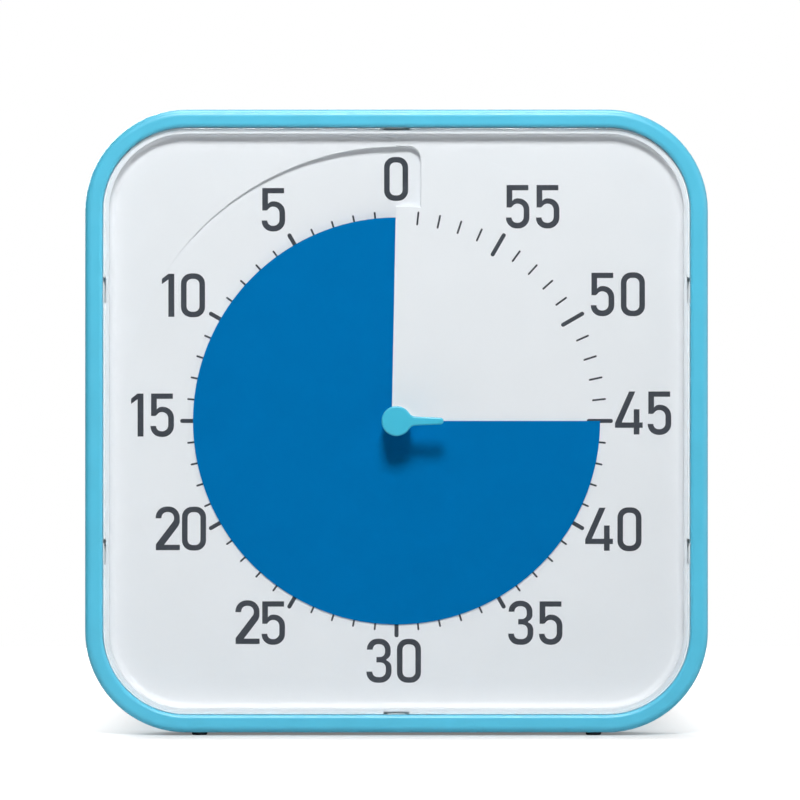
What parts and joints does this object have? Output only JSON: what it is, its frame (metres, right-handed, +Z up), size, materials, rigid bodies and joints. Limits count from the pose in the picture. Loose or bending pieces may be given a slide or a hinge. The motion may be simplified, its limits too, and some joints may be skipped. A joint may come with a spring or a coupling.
{
  "type": "visual countdown timer",
  "caption": "Square classroom countdown timer: a blue disk behind a clear lens is turned back out of sight through a slot at 12 as the minutes run down.",
  "frame": {"origin": "centre of the base, on the surface that the feet stand on, midway between the knob's front and the back", "axes": "+X to the right seen from the front, +Y to the rear, +Z up"},
  "size_m": [0.3048, 0.05, 0.3062],
  "materials": {
    "frame_blue": "satin moulded plastic, light blue",
    "lens_clear": "clear moulded acrylic",
    "dial_white": "matte white plastic",
    "dial_print": "dark grey print",
    "disk_blue": "matte blue sheet",
    "knob_blue": "satin moulded plastic",
    "foot_rubber": "matte dark rubber",
    "screw_steel": "zinc plated",
    "shaft_steel": "turned steel",
    "spring_steel": "spring steel",
    "housing_grey": "dark moulded plastic",
    "gear_white": "moulded acetal",
    "magnet_grey": "plastic-bonded magnet",
    "yoke_steel": "punched steel",
    "coil_copper": "enamelled copper wire",
    "board_green": "circuit board lacquer",
    "can_metal": "bright can",
    "buzzer_black": "black can",
    "battery_can": "plain sleeve"
  },
  "bodies": {
    "case": {"front_frame": "frame_blue", "lens": "lens_clear", "dial_plate": "dial_white", "rear_case": "frame_blue", "frame_screws": "screw_steel", "case_screws": "screw_steel", "foot_front_left": "foot_rubber", "foot_front_right": "foot_rubber", "foot_rear_left": "foot_rubber", "foot_rear_right": "foot_rubber", "movement_base": "housing_grey", "movement_cover": "housing_grey", "movement_screws": "screw_steel", "module_screws": "screw_steel", "circuit_board": "board_green", "quartz_crystal": "can_metal", "drive_coil": "coil_copper", "stator": "yoke_steel", "buzzer": "buzzer_black", "volume_pot": "housing_grey", "aa_battery": "battery_can", "battery_spring_contact": "spring_steel", "battery_plate_contact": "spring_steel"},
    "knob_shaft": {"knob": "knob_blue", "arbor": "shaft_steel", "clutch_spring": "spring_steel", "arbor_clip": "spring_steel"},
    "disk": {"timer_disk": "disk_blue", "disk_hub": "gear_white"},
    "rotor": {"rotor": "magnet_grey"},
    "wheel_a": {"wheel_a": "gear_white"},
    "wheel_b": {"wheel_b": "gear_white"},
    "wheel_c": {"wheel_c": "gear_white"},
    "arbor_wheel": {"arbor_wheel": "gear_white"},
    "volume_knob": {"volume_knob": "knob_blue"},
    "battery_door": {"battery_door": "frame_blue"}
  },
  "joints": [
    {"name": "timer_turn", "type": "hinge", "parent": "case", "child": "knob_shaft", "pos_m": [0, -0.016, 0.1538], "axis": [0, -1, 0], "range_deg": [-270, 90]},
    {"name": "disk_travel", "type": "slide", "parent": "knob_shaft", "child": "disk", "axis": [0, -1, 0], "range_m": [-0.00128, 0.00043]},
    {"name": "rotor_spin", "type": "hinge", "parent": "case", "child": "rotor", "pos_m": [-0.00329, 0.014, 0.13406], "axis": [0, -1, 0], "continuous": true},
    {"name": "wheel_a_spin", "type": "hinge", "parent": "case", "child": "wheel_a", "pos_m": [-0.01129, 0.014, 0.13406], "axis": [0, -1, 0], "continuous": true},
    {"name": "wheel_b_spin", "type": "hinge", "parent": "case", "child": "wheel_b", "pos_m": [-0.01366, 0.014, 0.14745], "axis": [0, -1, 0], "continuous": true},
    {"name": "wheel_c_spin", "type": "hinge", "parent": "case", "child": "wheel_c", "pos_m": [-0.01247, 0.014, 0.161], "axis": [0, -1, 0], "continuous": true},
    {"name": "arbor_wheel_spin", "type": "hinge", "parent": "case", "child": "arbor_wheel", "pos_m": [0, 0.014, 0.1538], "axis": [0, -1, 0], "continuous": true},
    {"name": "volume_turn", "type": "hinge", "parent": "case", "child": "volume_knob", "pos_m": [0.024, 0.024, 0.1268], "axis": [0, 1, 0], "range_deg": [0, 270]},
    {"name": "door_swing", "type": "hinge", "parent": "case", "child": "battery_door", "pos_m": [0, 0.0238, 0.1143], "axis": [1, 0, 0], "range_deg": [0, 85]}
  ],
  "couplings": [
    {"joint": "disk_travel", "follows": "timer_turn", "m_per_rad": 0.00027056},
    {"joint": "wheel_a_spin", "follows": "rotor_spin", "ratio": -0.25},
    {"joint": "wheel_b_spin", "follows": "rotor_spin", "ratio": 0.033333},
    {"joint": "wheel_c_spin", "follows": "rotor_spin", "ratio": -0.0044444},
    {"joint": "arbor_wheel_spin", "follows": "rotor_spin", "ratio": 0.00055556}
  ]
}
